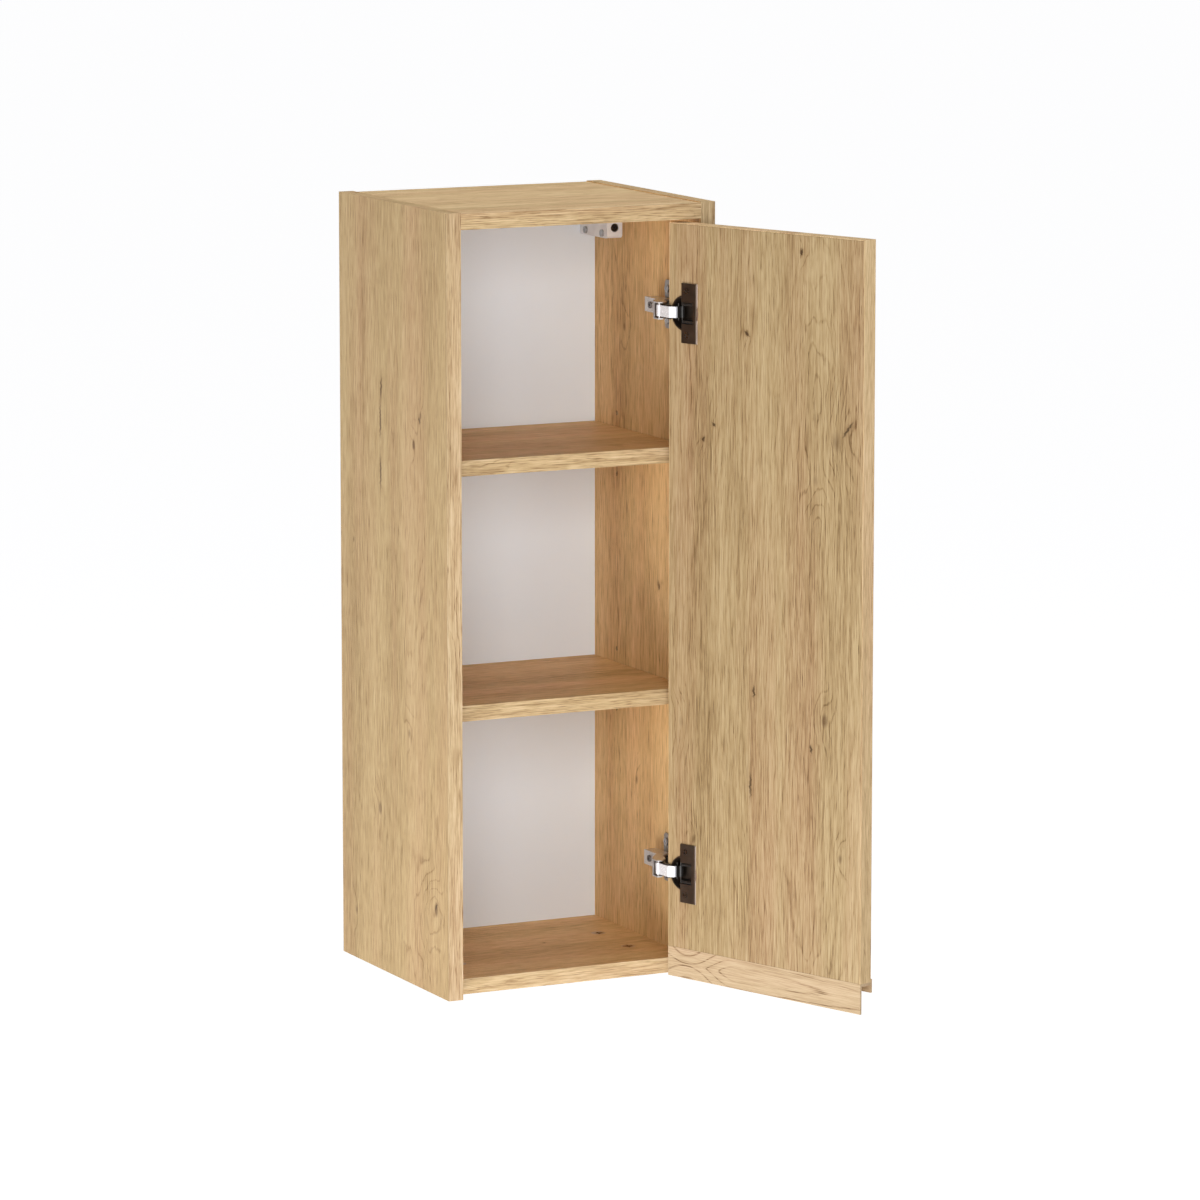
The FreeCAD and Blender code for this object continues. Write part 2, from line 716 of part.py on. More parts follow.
open_up(door_panel("door_panel"))
open_up(handle_profile("handle_profile"))
for name, x in (("door_hinge_edge_band", f"{DOOR_HINGE_EDGE} - band_thickness"),
                ("door_free_edge_band", DOOR_LEFT)):
    band = new_body(name)
    pad(band, "XY", "profile_top", rectangle(x, "-cabinet_depth", "band_thickness", "board_thickness"),
        "door_top - profile_top")
    open_up(band)
top_band = new_body("door_top_edge_band")
pad(top_band, "XY", "door_top - band_thickness",
    rectangle(f"{DOOR_LEFT} + band_thickness", "-cabinet_depth",
              f"{DOOR_WIDTH} - 2 * band_thickness", "board_thickness"), "band_thickness")
open_up(top_band)


# ---- hinges -------------------------------------------------------------------------------

def upright(body, x, level, diameter, length, plane_level, toward):
    """Pad a round boss square to the door's face."""
    sketch = new_sketch(body, "XZ", plane_level)
    draw_circles(sketch, [(x, level)], diameter)
    feature = body.newObject("PartDesign::Pad", body.Label + "_round")
    feature.Profile = sketch
    bind(feature, "Length", length)
    feature.Reversed = toward == 1


def hinge_cup(label, level):
    """A pressed cup with a rim, and a screw flange with a window for links and damper."""
    body = new_body(label)
    x = f"{DOOR_HINGE_EDGE} - cup_from_edge"
    far = f"({DOOR_HINGE_EDGE} - flange_end)"
    near = f"({DOOR_HINGE_EDGE} - flange_start)"
    upright(body, x, level, "cup_diameter", "cup_depth", DOOR_INNER_FACE, -1)
    upright(body, x, level, "cup_rim_diameter", "cup_rim_height", DOOR_INNER_FACE, 1)
    drill(body, "XZ", f"{DOOR_INNER_FACE} + cup_rim_height", [(x, level)],
          "cup_diameter - 2 * cup_wall", "cup_rim_height + cup_depth - cup_wall", -1)
    face = f"({DOOR_INNER_FACE} + flange_thickness)"
    section = [(far, DOOR_INNER_FACE), (near, DOOR_INNER_FACE), (near, face),
               (f"{far} + flange_thickness", face), (far, f"{DOOR_INNER_FACE} + flange_thickness / 4")]
    pad(body, "XY", f"{level} - flange_half_height", section, "2 * flange_half_height")
    pocket(body, "XZ", face,
           rectangle(f"{DOOR_HINGE_EDGE} - flange_window_end", f"{level} - flange_window_half",
                     "flange_window_end - flange_start", "2 * flange_window_half"),
           "flange_thickness", -1)
    drill(body, "XZ", face,
          [(f"{DOOR_HINGE_EDGE} - cup_screw_from_edge", f"{level} + {side} * cup_screw_offset")
           for side in (-1, 1)], "cup_screw_diameter", "flange_thickness", -1)
    for which in ("outer", "inner"):
        drill(body, "XY", f"{level} - {which}_pin_length / 2",
              [(f"{DOOR_HINGE_EDGE} - {which}_pin_from_edge", f"{DOOR_INNER_FACE} - {which}_pin_depth")],
              "cup_pin_diameter", f"{which}_pin_length", 1)
    return body


def cup_screws(label, level):
    x = f"{DOOR_HINGE_EDGE} - cup_screw_from_edge"
    y = f"({DOOR_INNER_FACE} + flange_thickness)"
    return combine("Part::Compound", label, [
        screw(label + "_one", "-y", (x, y, f"({level} + {side} * cup_screw_offset)"), "cup_screw_head",
              "cup_screw_head_height", "cup_screw_diameter", "cup_screw_depth")
        for side in (-1, 1)])


def cup_pins(label, level):
    return combine("Part::Compound", label, [
        rod(label + "_pin", "+z",
            (f"{DOOR_HINGE_EDGE} - {which}_pin_from_edge", f"{DOOR_INNER_FACE} - {which}_pin_depth",
             f"{level} - {which}_pin_length / 2"), "cup_pin_diameter", f"{which}_pin_length")
        for which in ("outer", "inner")])


def damper(label, level):
    """Two round-backed cylinders beside the links, joined by a block behind them."""
    far = f"({DOOR_HINGE_EDGE} - damper_end)"
    length = "damper_end - damper_start"
    deep = f"({DOOR_INNER_FACE} - damper_depth)"
    pieces = [strip(label + "_bridge", (far, deep, f"{level} - damper_outside"),
                    ("damper_bridge", "damper_depth - damper_bridge_top", "2 * damper_outside"))]
    for side in (-1, 1):
        middle = f"({level} + {side} * (damper_outside + damper_inside) / 2)"
        width = "(damper_outside - damper_inside)"
        pieces.append(strip(label + "_side", (far, deep, f"{middle} - {width} / 2"),
                            (length, "damper_depth", width)))
        pieces.append(rod(label + "_barrel", "+x", (far, DOOR_INNER_FACE, middle), width, length))
    return combine("Part::MultiFuse", label, pieces)


def bent_strip(points, thickness, low, high):
    """A strip of sheet bent along points in plan, standing between two heights."""
    shapes = []
    for start, end in zip(points, points[1:]):
        run = end - start
        piece = Part.makeBox(run.Length, thickness, high - low, Vector(0, -thickness / 2, 0))
        piece.Placement = Placement(start + Vector(0, 0, low), Rotation(Vector(1, 0, 0), run))
        shapes.append(piece)
    for corner in points[1:-1]:
        shapes.append(Part.makeCylinder(thickness / 2, high - low, corner + Vector(0, 0, low)))
    return shapes[0].fuse(shapes[1:])


def eye(centre, low, high, diameter):
    return Part.makeCylinder(diameter / 2, high - low, centre + Vector(0, 0, low))


# Where the links bend, from the open door's hinge edge and inner face, and the outer link's
# short tail from the arm's pin, in plan.
OUTER_LINK_TAIL = Vector(-0.9, 3.6, 0)
OUTER_LINK_BENDS = [(4.0, -4.4), (9.5, -1.0)]
INNER_LINK_BENDS = [(1.2, -3.0), (4.6, -2.2)]


def outer_link(label, level):
    """The bright link: from behind the arm's pin round the door's edge to the outer cup pin."""
    half = size("outer_link_width") / 2
    low, high = level - half, level + half
    bends = [on_open_door(*bend) for bend in OUTER_LINK_BENDS]
    points = [OUTER_ARM_PIVOT + OUTER_LINK_TAIL] + bends + [OUTER_CUP_PIVOT]
    shape = bent_strip(points, size("link_thickness"), low, high)
    for centre in (OUTER_ARM_PIVOT, OUTER_CUP_PIVOT):
        shape = shape.fuse(eye(centre, low, high, size("link_eye_diameter")))
    for centre in (OUTER_ARM_PIVOT, OUTER_CUP_PIVOT):
        shape = shape.cut(eye(centre, low - 1, high + 1, size("link_eye_bore")))
    return solid(label, shape.removeSplitter())


def inner_link(label, level):
    """Two side plates beside the outer link, joined by the eye on the arm's second pin. Their
    other ends stop short of the inner cup pin, where the linkage is open."""
    inside, outside = size("inner_link_inside") / 2, size("inner_link_outside") / 2
    points = [INNER_ARM_PIVOT] + [on_open_door(*bend) for bend in INNER_LINK_BENDS]
    shape = eye(INNER_ARM_PIVOT, level - outside, level + outside, size("link_eye_diameter"))
    for low, high in ((inside, outside), (-outside, -inside)):
        shape = shape.fuse(bent_strip(points, size("inner_link_breadth"), level + low, level + high))
    shape = shape.cut(eye(INNER_ARM_PIVOT, level - outside - 1, level + outside + 1,
                          size("link_eye_bore")))
    return solid(label, shape.removeSplitter())


# The arm's outline in plan, from the cabinet's middle and the wall: cheeks and web together,
# then the hollow between the cheeks, which is open at the nose and towards the side panel.
ARM_OUTLINE = [(95.2, -235), (95.2, -245.4), (100.5, -246.4), (108.5, -238), (113, -224),
               (127, -212), (127, -180), (113, -180), (113, -209), (98.5, -228)]
ARM_HOLLOW = [(90, -236.8), (96.5, -236.8), (96.5, -235.4), (99.6, -228.7), (114.3, -209.5),
              (114.3, -178), (130, -178), (130, -250), (90, -250)]


def tapered(label, level, outline, narrowing):
    """An outline in plan, cut to a width that narrows from the nose towards the tail."""
    nose = f"({narrowing} + nose_width / 2)"
    tail = f"({narrowing} + arm_tail_width / 2)"
    plan = new_body(label + "_plan")
    pad(plan, "XY", f"{level} - {nose}", outline, f"2 * {nose}")
    side = new_body(label + "_side")
    run = [("-cabinet_depth", nose), ("arm_taper_start - cabinet_depth", nose),
           ("arm_taper_end - cabinet_depth", tail), ("-cabinet_depth / 2", tail)]
    below = [(y, f"{level} - {half}") for y, half in run]
    above = [(y, f"{level} + {half}") for y, half in reversed(run)]
    pad(side, "YZ", "cabinet_width / 4", below + above, "cabinet_width / 4")
    return combine("Part::MultiCommon", label + "_tapered", [plan, side])


def hinge_arm(label, level):
    """A channel of nickelled sheet with its cheeks towards the side panel."""
    outer = tapered(label + "_outside", level, ARM_OUTLINE, "0")
    hollow = tapered(label + "_hollow", level, ARM_HOLLOW, "-arm_sheet")
    holes = [hollow]
    for pivot in (OUTER_ARM_PIVOT, INNER_ARM_PIVOT):
        holes.append(rod(label + "_pin_hole", "+z", (pivot.x, pivot.y, f"{level} - nose_width"),
                         "cup_pin_diameter", "2 * nose_width"))
    for distance in ("arm_screw_rear", "arm_screw_front"):
        holes.append(rod(label + "_screw_hole", "+x",
                         ("arm_face - arm_sheet", f"{distance} - cabinet_depth", level),
                         "arm_screw_diameter", "3 * arm_sheet"))
    return cut_away(label, outer, combine("Part::MultiFuse", label + "_openings", holes))


def arm_pins(label, level):
    return combine("Part::Compound", label, [
        rod(label + "_pin", "+z", (pivot.x, pivot.y, f"{level} - nose_width / 2"),
            "cup_pin_diameter", "nose_width")
        for pivot in (OUTER_ARM_PIVOT, INNER_ARM_PIVOT)])


def arm_screws(label, level):
    return combine("Part::Compound", label, [
        screw(label + "_one", "+x", ("arm_face", f"(arm_screw_{end} - cabinet_depth)", level),
              f"{end}_arm_screw_head", "arm_screw_head_height", "arm_screw_diameter", "arm_screw_length")
        for end in ("rear", "front")])


def mounting_plate(label, level):
    """A cross-shaped plate: two wings with screw holes and a raised rail for the arm."""
    body = new_body(label)
    wing_front = "(plate_from_front - plate_wing_width / 2 - cabinet_depth)"
    corner = "plate_wing_corner"
    low, high = f"({level} - plate_wing_height / 2)", f"({level} + plate_wing_height / 2)"
    rear = f"({wing_front} + plate_wing_width)"
    wing = [(wing_front, f"{low} + {corner}"), (f"{wing_front} + {corner}", low),
            (f"{rear} - {corner}", low), (rear, f"{low} + {corner}"), (rear, f"{high} - {corner}"),
            (f"{rear} - {corner}", high), (f"{wing_front} + {corner}", high),
            (wing_front, f"{high} - {corner}")]
    pad(body, "YZ", SIDE_INNER, wing, "plate_wing_thickness", -1)
    pad(body, "YZ", SIDE_INNER,
        rectangle("plate_block_start - cabinet_depth", f"{level} - plate_block_height / 2",
                  "plate_block_end - plate_block_start", "plate_block_height"),
        "plate_block_thickness", -1)
    drill(body, "YZ", f"{SIDE_INNER} - plate_wing_thickness",
          [("plate_from_front - cabinet_depth", f"{level} + {side} * plate_screw_offset")
           for side in (-1, 1)], "plate_screw_diameter", "plate_wing_thickness", 1)
    drill(body, "YZ", f"{SIDE_INNER} - plate_block_thickness",
          [(f"{distance} - cabinet_depth", level) for distance in ("arm_screw_rear", "arm_screw_front")],
          "arm_screw_diameter", "plate_block_thickness", 1)
    return body


def plate_screws(label, level):
    x = f"({SIDE_INNER} - plate_wing_thickness)"
    return combine("Part::Compound", label, [
        screw(label + "_one", "+x",
              (x, "(plate_from_front - cabinet_depth)", f"({level} + {side} * plate_screw_offset)"),
              "plate_screw_head", "plate_screw_head_height", "plate_screw_diameter", "plate_screw_depth")
        for side in (-1, 1)])


for which, level in HINGES.items():
    open_up(hinge_cup(which + "_hinge_cup", level))
    open_up(cup_screws(which + "_hinge_cup_screws", level))
    open_up(cup_pins(which + "_hinge_cup_pins", level))
    open_up(damper(which + "_hinge_damper", level))
    keep(outer_link(which + "_hinge_outer_link", size(level)))
    keep(inner_link(which + "_hinge_inner_link", size(level)))
    keep(hinge_arm(which + "_hinge_arm", level))
    keep(arm_pins(which + "_hinge_arm_pins", level))
    keep(arm_screws(which + "_hinge_arm_screws", level))
    keep(mounting_plate(which + "_hinge_plate", level))
    keep(plate_screws(which + "_hinge_plate_screws", level))


# ---- checks and export --------------------------------------------------------------------

doc.recompute()
failed = [thing.Label for thing in doc.Objects if {"Invalid", "Error"} & set(thing.State)]
if failed:
    raise SystemExit("failed objects: " + ", ".join(failed))
for feature, label in cuts:
    before = feature.BaseFeature.Shape.Volume
    if before - feature.Shape.Volume < 0.5:
        raise SystemExit(f"a cut in {label} takes nothing away")
for piece in nodes:
    if piece.Shape.isNull() or not piece.Shape.isValid() or not piece.Shape.Solids:
        raise SystemExit("bad shape: " + piece.Label)
    piece.Shape.exportStep(f"parts/{piece.Label}.step")
print(len(nodes), "pieces written")
for which, arm_point, cup_point in (("outer", OUTER_ARM_PIVOT, OUTER_CUP_PIVOT),
                                    ("inner", INNER_ARM_PIVOT, INNER_CUP_PIVOT)):
    closed_cup = on_closed_door(size(which + "_pin_from_edge"), size(which + "_pin_depth"))
    swing = math.degrees((cup_point - arm_point).getAngle(closed_cup - arm_point))
    print(which, "link: arm pivot", arm_point, "cup pivot", cup_point, "swing", swing)
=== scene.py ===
import bpy
import math
from collections import namedtuple
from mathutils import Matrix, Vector


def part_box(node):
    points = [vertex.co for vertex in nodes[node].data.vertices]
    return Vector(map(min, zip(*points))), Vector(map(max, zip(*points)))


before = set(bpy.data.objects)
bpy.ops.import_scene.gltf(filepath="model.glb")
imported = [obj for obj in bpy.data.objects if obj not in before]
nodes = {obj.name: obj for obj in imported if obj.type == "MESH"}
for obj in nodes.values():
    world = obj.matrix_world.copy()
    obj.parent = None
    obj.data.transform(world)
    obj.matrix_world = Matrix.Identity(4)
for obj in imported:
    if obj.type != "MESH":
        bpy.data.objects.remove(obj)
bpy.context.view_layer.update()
scene = bpy.context.scene
scene.view_settings.view_transform = "Standard"


# ---- camera ---------------------------------------------------------------------------------

# Angles in degrees, the lens and sensor in millimetres, and places in metres.
CAMERA_PLACE = (-2.6785, -5.7728, 1.3872)
CAMERA_DIP = 8.697
CAMERA_HEADING = -26.035
CAMERA_LENS = 183.71
CAMERA_SENSOR = 36
CAMERA_SHIFT = (0.006, -0.04)
FARTHEST_SEEN = 500

camera = bpy.data.objects.new("camera", bpy.data.cameras.new("camera"))
scene.collection.objects.link(camera)
camera.location = CAMERA_PLACE
camera.rotation_euler = (math.radians(90 - CAMERA_DIP), 0, math.radians(CAMERA_HEADING))
camera.data.sensor_width = CAMERA_SENSOR
camera.data.lens = CAMERA_LENS
camera.data.shift_x, camera.data.shift_y = CAMERA_SHIFT
camera.data.clip_end = FARTHEST_SEEN
scene.camera = camera


# ---- node trees -----------------------------------------------------------------------------

WHITE = (1, 1, 1, 1)


class Graph:
    """Short calls that each add a node to one node tree and return its output."""

    def __init__(self, tree):
        self.tree = tree
        tree.nodes.clear()

    def add(self, kind, **settings):
        """Returns the node itself."""
        node = self.tree.nodes.new(kind)
        for name, value in settings.items():
            setattr(node, name, value)
        return node

    def feed(self, socket, value):
        """Links a value that is another node's output, and sets any other value."""
        if isinstance(value, bpy.types.NodeSocket):
            self.tree.links.new(value, socket)
        else:
            socket.default_value = value

    def feed_all(self, node, values):
        for socket, value in zip(node.inputs, values):
            self.feed(socket, value)

    def feed_named(self, node, values):
        for name, value in values.items():
            self.feed(node.inputs[name], value)

    def math(self, operation, *values, clamp=False):
        node = self.add("ShaderNodeMath", operation=operation, use_clamp=clamp)
        self.feed_all(node, values)
        return node.outputs[0]

    def vector(self, operation, *values):
        node = self.add("ShaderNodeVectorMath", operation=operation)
        self.feed_all(node, values)
        return node.outputs["Value" if operation == "LENGTH" else "Vector"]

    def position(self):
        return self.add("ShaderNodeTexCoord").outputs["Object"]

    def parts(self, vector):
        """The three numbers of a vector."""
        node = self.add("ShaderNodeSeparateXYZ")
        self.feed(node.inputs[0], vector)
        return node.outputs

    def join(self, x, y, z):
        node = self.add("ShaderNodeCombineXYZ")
        self.feed_all(node, (x, y, z))
        return node.outputs[0]

    def turn(self, vector, axis, centre, angle):
        node = self.add("ShaderNodeVectorRotate", rotation_type=axis + "_AXIS")
        self.feed_named(node, {"Vector": vector, "Center": centre, "Angle": angle})
        return node.outputs[0]

    def noise(self, vector, scale=1.0, detail=2.0, roughness=0.5):
        node = self.add("ShaderNodeTexNoise", noise_dimensions="3D")
        self.feed_named(node, {"Vector": vector, "Scale": scale, "Detail": detail, "Roughness": roughness})
        return node.outputs[0]

    def line_noise(self, value, scale=1.0, detail=2.0, roughness=0.5):
        node = self.add("ShaderNodeTexNoise", noise_dimensions="1D")
        self.feed_named(node, {"W": value, "Scale": scale, "Detail": detail, "Roughness": roughness})
        return node.outputs[0]

    def fit(self, value, low, high, to_low=0.0, to_high=1.0, smooth=False):
        """Low to high becomes to_low to to_high, and what lies outside is clamped."""
        kind = "SMOOTHSTEP" if smooth else "LINEAR"
        node = self.add("ShaderNodeMapRange", interpolation_type=kind)
        self.feed_all(node, (value, low, high, to_low, to_high))
        return node.outputs[0]

    def ramp(self, value, stops):
        node = self.add("ShaderNodeValToRGB")
        self.feed(node.inputs[0], value)
        elements = node.color_ramp.elements
        while len(elements) < len(stops):
            elements.new(0.5)
        for element, (position, colour) in zip(elements, stops):
            element.position = position
            element.color = colour
        return node.outputs[0]

    def mix(self, factor, first, second, blend="MIX"):
        node = self.add("ShaderNodeMix", data_type="RGBA", blend_type=blend)
        self.feed(node.inputs[0], factor)
        self.feed(node.inputs[6], first)
        self.feed(node.inputs[7], second)
        return node.outputs[2]

    def tinted(self, colour, tint):
        return self.mix(1.0, colour, tint, "MULTIPLY")

    def bump(self, height, distance, strength):
        node = self.add("ShaderNodeBump")
        self.feed_named(node, {"Height": height, "Distance": distance, "Strength": strength})
        return node.outputs[0]

    def background(self, colour, strength=1.0):
        node = self.add("ShaderNodeBackground")
        self.feed_named(node, {"Color": colour, "Strength": strength})
        return node.outputs[0]

    def principled(self, **values):
        """A principled shader with these sockets, named with _ for each space."""
        node = self.add("ShaderNodeBsdfPrincipled")
        self.feed_named(node, {name.replace("_", " "): value for name, value in values.items()})
        return node.outputs[0]

    def choose(self, factor, first, second):
        """The first shader where factor is 0 and the second where it is 1."""
        node = self.add("ShaderNodeMixShader")
        self.feed_all(node, (factor, first, second))
        return node.outputs[0]

    def show(self, shader, kind="ShaderNodeOutputMaterial"):
        """Ends the tree with this shader."""
        self.feed(self.add(kind).inputs[0], shader)


def new_material(name):
    material = bpy.data.materials.new(name)
    material.use_nodes = True
    return material, Graph(material.node_tree)


def rgb(red, green, blue):
    """A colour given as it looks on a screen, 0 to 255, in linear light."""
    def linear(value):
        value /= 255
        return value / 12.92 if value <= 0.04045 else ((value + 0.055) / 1.055) ** 2.4
    return (linear(red), linear(green), linear(blue), 1.0)


# ---- studio ---------------------------------------------------------------------------------

BACKDROP_BRIGHTNESS = 1.05

# The light that comes from all round: 0 is straight below, 0.5 the horizon and 1 straight above.
SURROUNDINGS = [(0.0, (0.9, 0.9, 0.9, 1)), (0.49, (0.9, 0.9, 0.9, 1)),
                (0.52, (0.16, 0.16, 0.16, 1)), (1.0, (0.12, 0.12, 0.13, 1))]

FLOOR_LEVEL = -1.4
FLOOR_REACH = 150
FLOOR_COLOUR = (0.92, 0.92, 0.92, 1)
FLOOR_GLOW = 0.86


def studio_world():
    """White where the camera looks past the cabinet, with light from a bright floor and dim walls."""
    world = bpy.data.worlds.new("studio")
    world.use_nodes = True
    graph = Graph(world.node_tree)
    height = graph.parts(graph.add("ShaderNodeTexCoord").outputs["Generated"])[2]
    lighting = graph.background(graph.ramp(graph.fit(height, -1.0, 1.0), SURROUNDINGS))
    backdrop = graph.background(WHITE, BACKDROP_BRIGHTNESS)
    is_seen = graph.add("ShaderNodeLightPath").outputs["Is Camera Ray"]
    graph.show(graph.choose(is_seen, lighting, backdrop), "ShaderNodeOutputWorld")
    return world


def softbox(name, location, target, width, height, power):
    """A soft rectangular lamp that faces its target. Power is in watts."""
    lamp = bpy.data.lights.new(name, "AREA")
    lamp.shape = "RECTANGLE"
    lamp.size, lamp.size_y = width, height
    lamp.energy = power
    holder = bpy.data.objects.new(name, lamp)
    scene.collection.objects.link(holder)
    holder.location = location
    holder.rotation_euler = (Vector(target) - Vector(location)).to_track_quat("-Z", "Y").to_euler()


def pale_floor():
    """A wide matt floor far below the cabinet, which can be looked through from underneath."""
    mesh = bpy.data.meshes.new("floor")
    corners = [(x * FLOOR_REACH, y * FLOOR_REACH, FLOOR_LEVEL)
               for x, y in ((-1, -1), (1, -1), (1, 1), (-1, 1))]
    mesh.from_pydata(corners, [], [(0, 1, 2, 3)])
    material, graph = new_material("pale_floor")
    pale = graph.principled(Base_Color=FLOOR_COLOUR, Roughness=0.9, Specular_IOR_Level=0.0,
                            Emission_Color=WHITE, Emission_Strength=FLOOR_GLOW)
    clear = graph.add("ShaderNodeBsdfTransparent").outputs[0]
    from_below = graph.add("ShaderNodeNewGeometry").outputs["Backfacing"]
    graph.show(graph.choose(from_below, pale, clear))
    mesh.materials.append(material)
    return bpy.data.objects.new("floor", mesh)


scene.world = studio_world()
softbox("front_softbox", (-1.1, -3.0, 1.1), target=(0, -0.1, 0.35), width=1.6, height=1.4, power=47)
softbox("low_left_softbox", (-1.15, -0.75, -0.45), target=(-0.1, -0.2, 0.1), width=0.9, height=0.6,
        power=12)
softbox("top_softbox", (0, 0.4, 4.2), target=(0, -0.1, 0.8), width=2.4, height=2.4, power=125)
floor = pale_floor()
scene.collection.objects.link(floor)


# ---- places in the boards -------------------------------------------------------------------

# A place in a board is (across, through, along) its grain, in metres. An order says which of
# x, y and z those are.
UPRIGHT_SIDE = "yxz"
UPRIGHT_FRONT = "xyz"
LEVEL_BOARD = "yzx"
LEVEL_FRONT = "zyx"

# From closed to open, the door's whole move is one turn about this upright line. Its decor and
# the places on it are given for the closed door.
DOOR_TURN = math.radians(110)
DOOR_CENTRE = (0.11985, -0.26272, 0)
DOOR_HINGE_EDGE = 0.132
DOOR_INNER_FACE = -0.249

# A hinge cup's far edge is bevelled from here on, and that bevel gets a painted highlight. Its
# link is bright down to the first of these depths and from the second it is black: painted shade
# where the link goes down into the cup.
CUP_FAR_BEVEL = DOOR_HINGE_EDGE - 0.0387
LINK_BRIGHT_TO = DOOR_INNER_FACE - 0.0002
LINK_PAINTED_SHADE_FROM = DOOR_INNER_FACE - 0.0012

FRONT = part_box("left_side_edge_band")[0].y
BAND_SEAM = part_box("left_side_panel")[0].y
LEFT_OUTER_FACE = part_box("left_side_panel")[0].x
LEFT_INNER_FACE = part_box("left_side_panel")[1].x
RIGHT_INNER_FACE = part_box("right_side_panel")[0].x
BOTTOM_INNER_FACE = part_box("bottom_panel")[1].z
TOP_INNER_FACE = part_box("top_panel")[0].z
DOOR_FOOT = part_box("door_panel")[0].z
DOOR_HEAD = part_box("door_panel")[1].z
BACK_REAR_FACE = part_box("back_panel")[1].y

# How far a face's own colour reaches into its board.
SKIN = 0.0005
REAR_SKIN = 0.0002

# A knot's size is about the radius of its dark heart. A crack's lean is in degrees.
Knot = namedtuple("Knot", "place size darkness")
Crack = namedtuple("Crack", "place half_length lean")


def on_left_side(from_front, height):
    """A place on the outer face of the left side."""
    return (FRONT + from_front, LEFT_OUTER_FACE, height)


def in_right_side(from_front, height):
    """A place on the inner face of the right side."""
    return (FRONT + from_front, RIGHT_INNER_FACE, height)


def on_door(from_hinge_edge, height):
    """A place on the inner face of the door."""
    return (DOOR_HINGE_EDGE - from_hinge_edge, DOOR_INNER_FACE, height)


def board_place(graph, order, of_door=False):
    """Where the shaded point lies in its board: across, through and along the grain."""
    place = graph.position()
    if of_door:
        place = graph.turn(place, "Z", DOOR_CENTRE, -DOOR_TURN)
    xyz = graph.parts(place)
    return graph.join(*[xyz["xyz".index(axis)] for axis in order])


def blob(graph, place, centre, radii, lean=0):
    """1 at a centre, falling smoothly to 0 at an ellipsoid round it that leans across the grain."""
    if lean:
        place = graph.turn(place, "Y", centre, math.radians(lean))
    offset = graph.vector("SUBTRACT", place, centre)
    scaled = graph.vector("MULTIPLY", offset, tuple(1 / radius for radius in radii))
    return graph.fit(graph.vector("LENGTH", scaled), 0, 1, 1, 0, smooth=True)


def total(graph, values):
    whole = values[0]
    for value in values[1:]:
        whole = graph.math("ADD", whole, value)
    return whole


def centred(graph, value, share):
    """A noise, which lies round 0.5, made to lie round 0 and multiplied by share."""
    return graph.math("MULTIPLY", graph.math("SUBTRACT", value, 0.5), share)


# ---- oak decor ------------------------------------------------------------------------------

# Noise in the print: repeats per metre across, through and along the grain, detail, roughness.
LAYERS = {
    "drift": ((9, 40, 2.2), 3, 0.55),
    "ripple": ((60, 120, 26), 3, 0.60),
    "broad": ((20, 60, 1.1), 3, 0.55),
    "hue": ((26, 70, 1.7), 2, 0.50),
    "streaks": ((260, 260, 7), 3, 0.60),
    "fibres": ((1500, 1500, 34), 2, 0.65),
    "pores": ((1250, 1250, 50), 2, 0.60),
    "patches": ((14, 30, 5), 2, 0.50),
}
RINGS_PER_METRE = 150
BANDS_PER_METRE = 130

# How far rings and cracks wander, in metres, and how far through the board a mark reaches.
RING_DRIFT = 0.085
RING_RIPPLE = 0.008
CRACK_WANDER = 0.004
DECOR_DEPTH = 0.009

# How much each thing adds to the lightness of the print, or takes from it.
TONE_MIDDLE = 0.60
BANDS_SHARE = -0.22
BROAD_SHARE = 0.80
STREAKS_SHARE = -0.55
FIBRES_SHARE = -1.9
PORES_SHARE = 0.50
LINES_SHARE = 0.42

# Round a knot, in its sizes: how far the swirl of rings and the dark heart reach across and along
# the grain, and how far the rings bend. Last, how clearly their lines show there.
SWIRL_REACH = (3.4, 6)
HEART_REACH = (0.8, 1.4)
KNOT_BEND = 1.7
KNOT_LINES = 300

# Half the width of a crack and of its softer rim, and how many times longer the rim is.
CRACK_HALF_WIDTH = 0.0024
RIM_HALF_WIDTH = 0.006
RIM_LENGTH = 1.4

# Beside a seam the decor is darkest up to the first of these distances and clear from the second.
SEAM_DARK_TO = 0.0002
SEAM_CLEAR_FROM = 0.0009
SEAM_TONE = 0.75

YELLOW_OAK = [(0.0, rgb(126, 96, 60)), (0.35, rgb(178, 148, 104)),
              (0.68, rgb(208, 180, 134)), (1.0, rgb(224, 199, 156))]
PINK_OAK = [(0.0, rgb(130, 92, 60)), (0.35, rgb(184, 144, 104)),
            (0.68, rgb(211, 176, 135)), (1.0, rgb(226, 196, 158))]
KNOT_BROWN = rgb(112, 80, 48)
CRACK_BROWN = rgb(78, 56, 34)
CRACK_RIM = rgb(146, 108, 68)


def ring_distance(graph, place, layers, pith, tilt, wave):
    """How far a point is from the heart of the tree. The rings lie where this is the same."""
    across, _, along = graph.parts(place)
    sideways = graph.math("SUBTRACT", across, pith[0])
    upward = graph.math("MULTIPLY", graph.math("SUBTRACT", along, pith[1]), tilt)
    distance = graph.vector("LENGTH", graph.join(sideways, upward, 0.0))
    return total(graph, [distance, centred(graph, layers["drift"], RING_DRIFT * wave),
                         centred(graph, layers["ripple"], RING_RIPPLE * wave)])


def round_knots(graph, place, knots, reach, weights):
    """Weighted blobs round the knots, added up. They reach so many sizes across and along."""
    blobs = [blob(graph, place, knot.place, (knot.size * reach[0], DECOR_DEPTH, knot.size * reach[1]))
             for knot in knots]
    return total(graph, [graph.math("MULTIPLY", *pair) for pair in zip(blobs, weights)])


